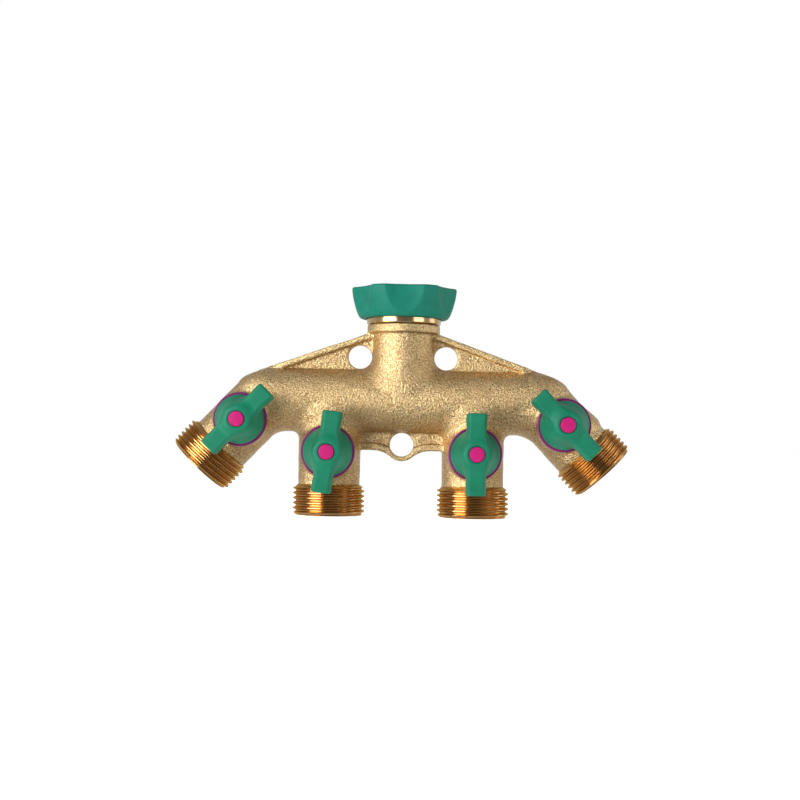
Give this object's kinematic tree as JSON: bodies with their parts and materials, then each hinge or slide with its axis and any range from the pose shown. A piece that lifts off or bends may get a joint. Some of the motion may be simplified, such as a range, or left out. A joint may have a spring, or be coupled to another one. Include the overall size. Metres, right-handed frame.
{
  "type": "hose splitter",
  "caption": "Cast brass tap splitter: a swivel inlet nut with a lobed grip feeds a row of threaded hose outlets, each shut by its own butterfly-lever ball valve.",
  "frame": {"origin": "centre of the inlet nut's mouth", "axes": "+Z out of the inlet along the neck, +X along the row of outlets to the right, -Y out of the lever side"},
  "size_m": [0.1664, 0.0439, 0.0838],
  "materials": {
    "cast_brass": "sand-blasted casting with machined threads",
    "turned_brass": "bright turned",
    "chromed_brass": "polished",
    "spring_steel": "zinc plated",
    "white_ptfe": "matte",
    "black_rubber": "matte",
    "grip_plastic": "satin moulded",
    "lever_plastic": "satin moulded",
    "ring_plastic": "satin moulded",
    "cap_plastic": "satin moulded"
  },
  "bodies": {
    "manifold": {"manifold_body": "cast_brass", "nut_retaining_ring": "spring_steel", "inlet_washer": "black_rubber", "seat_inner_1": "white_ptfe", "seat_outer_1": "white_ptfe", "seat_retainer_1": "turned_brass", "stem_washer_1": "white_ptfe", "indicator_ring_1": "ring_plastic", "seat_inner_2": "white_ptfe", "seat_outer_2": "white_ptfe", "seat_retainer_2": "turned_brass", "stem_washer_2": "white_ptfe", "indicator_ring_2": "ring_plastic", "seat_inner_3": "white_ptfe", "seat_outer_3": "white_ptfe", "seat_retainer_3": "turned_brass", "stem_washer_3": "white_ptfe", "indicator_ring_3": "ring_plastic", "seat_inner_4": "white_ptfe", "seat_outer_4": "white_ptfe", "seat_retainer_4": "turned_brass", "stem_washer_4": "white_ptfe", "indicator_ring_4": "ring_plastic"},
    "inlet_nut": {"swivel_nut": "turned_brass", "nut_grip": "grip_plastic"},
    "valve_1": {"ball_1": "chromed_brass", "stem_1": "turned_brass", "stem_seals_1": "black_rubber", "lever_1": "lever_plastic", "lever_screw_1": "spring_steel", "cap_1": "cap_plastic"},
    "valve_2": {"ball_2": "chromed_brass", "stem_2": "turned_brass", "stem_seals_2": "black_rubber", "lever_2": "lever_plastic", "lever_screw_2": "spring_steel", "cap_2": "cap_plastic"},
    "valve_3": {"ball_3": "chromed_brass", "stem_3": "turned_brass", "stem_seals_3": "black_rubber", "lever_3": "lever_plastic", "lever_screw_3": "spring_steel", "cap_3": "cap_plastic"},
    "valve_4": {"ball_4": "chromed_brass", "stem_4": "turned_brass", "stem_seals_4": "black_rubber", "lever_4": "lever_plastic", "lever_screw_4": "spring_steel", "cap_4": "cap_plastic"}
  },
  "joints": [
    {"name": "inlet_nut_spin", "type": "hinge", "parent": "manifold", "child": "inlet_nut", "pos_m": [0, 0, -0.006], "axis": [0, 0, 1], "continuous": true},
    {"name": "valve_1_turn", "type": "hinge", "parent": "manifold", "child": "valve_1", "pos_m": [-0.0582, -0.02, -0.04945], "axis": [0, -1, 0], "range_deg": [-90, 0]},
    {"name": "valve_2_turn", "type": "hinge", "parent": "manifold", "child": "valve_2", "pos_m": [-0.02645, -0.02, -0.06045], "axis": [0, -1, 0], "range_deg": [-82.6, 7.4]},
    {"name": "valve_3_turn", "type": "hinge", "parent": "manifold", "child": "valve_3", "pos_m": [0.02645, -0.02, -0.06045], "axis": [0, -1, 0], "range_deg": [-90, 0]},
    {"name": "valve_4_turn", "type": "hinge", "parent": "manifold", "child": "valve_4", "pos_m": [0.0582, -0.02, -0.04945], "axis": [0, -1, 0], "range_deg": [-90, 0]}
  ]
}
